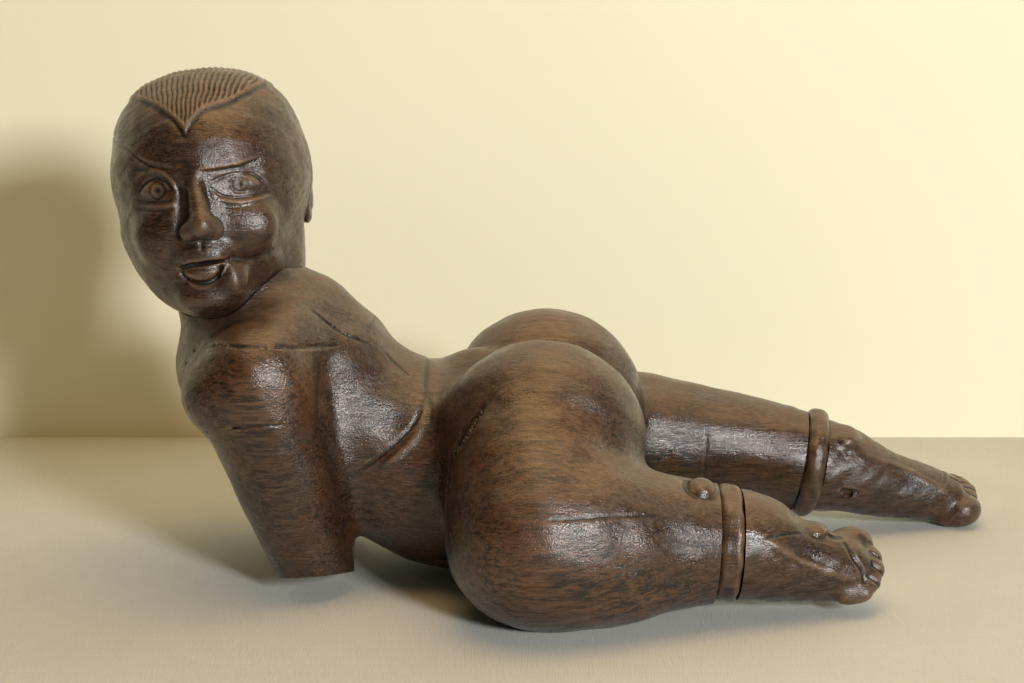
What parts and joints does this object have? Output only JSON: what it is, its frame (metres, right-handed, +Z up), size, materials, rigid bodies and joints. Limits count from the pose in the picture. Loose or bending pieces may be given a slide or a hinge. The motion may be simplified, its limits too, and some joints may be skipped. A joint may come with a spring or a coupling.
{
  "type": "crawling infant doll",
  "caption": "Life-size carved wooden infant lying on its belly, head turned to one side, joined from blocks, with turned anklet rings between legs and feet.",
  "frame": {"origin": "on the ground, in the worn flat under the belly, in the figure's middle plane", "axes": "+X from the head to the feet, +Y towards the infant's right side, +Z up"},
  "size_m": [0.619, 0.3285, 0.3428],
  "materials": {
    "carved_wood": "dark handled patina over fine horizontal grain, dull gloss",
    "anklet_wood": "turned, dark handled patina",
    "dowel_wood": "bare wood, inside the joints"
  },
  "bodies": {
    "root": {"head": "carved_wood", "trunk": "carved_wood", "left_arm": "carved_wood", "right_arm": "carved_wood", "left_leg": "carved_wood", "right_leg": "carved_wood", "left_foot": "carved_wood", "right_foot": "carved_wood", "left_anklet": "anklet_wood", "right_anklet": "anklet_wood", "neck_dowel": "dowel_wood", "left_shoulder_dowel": "dowel_wood", "right_shoulder_dowel": "dowel_wood", "front_hip_dowel": "dowel_wood", "rear_hip_dowel": "dowel_wood", "left_ankle_peg": "dowel_wood", "right_ankle_peg": "dowel_wood"}
  },
  "joints": []
}
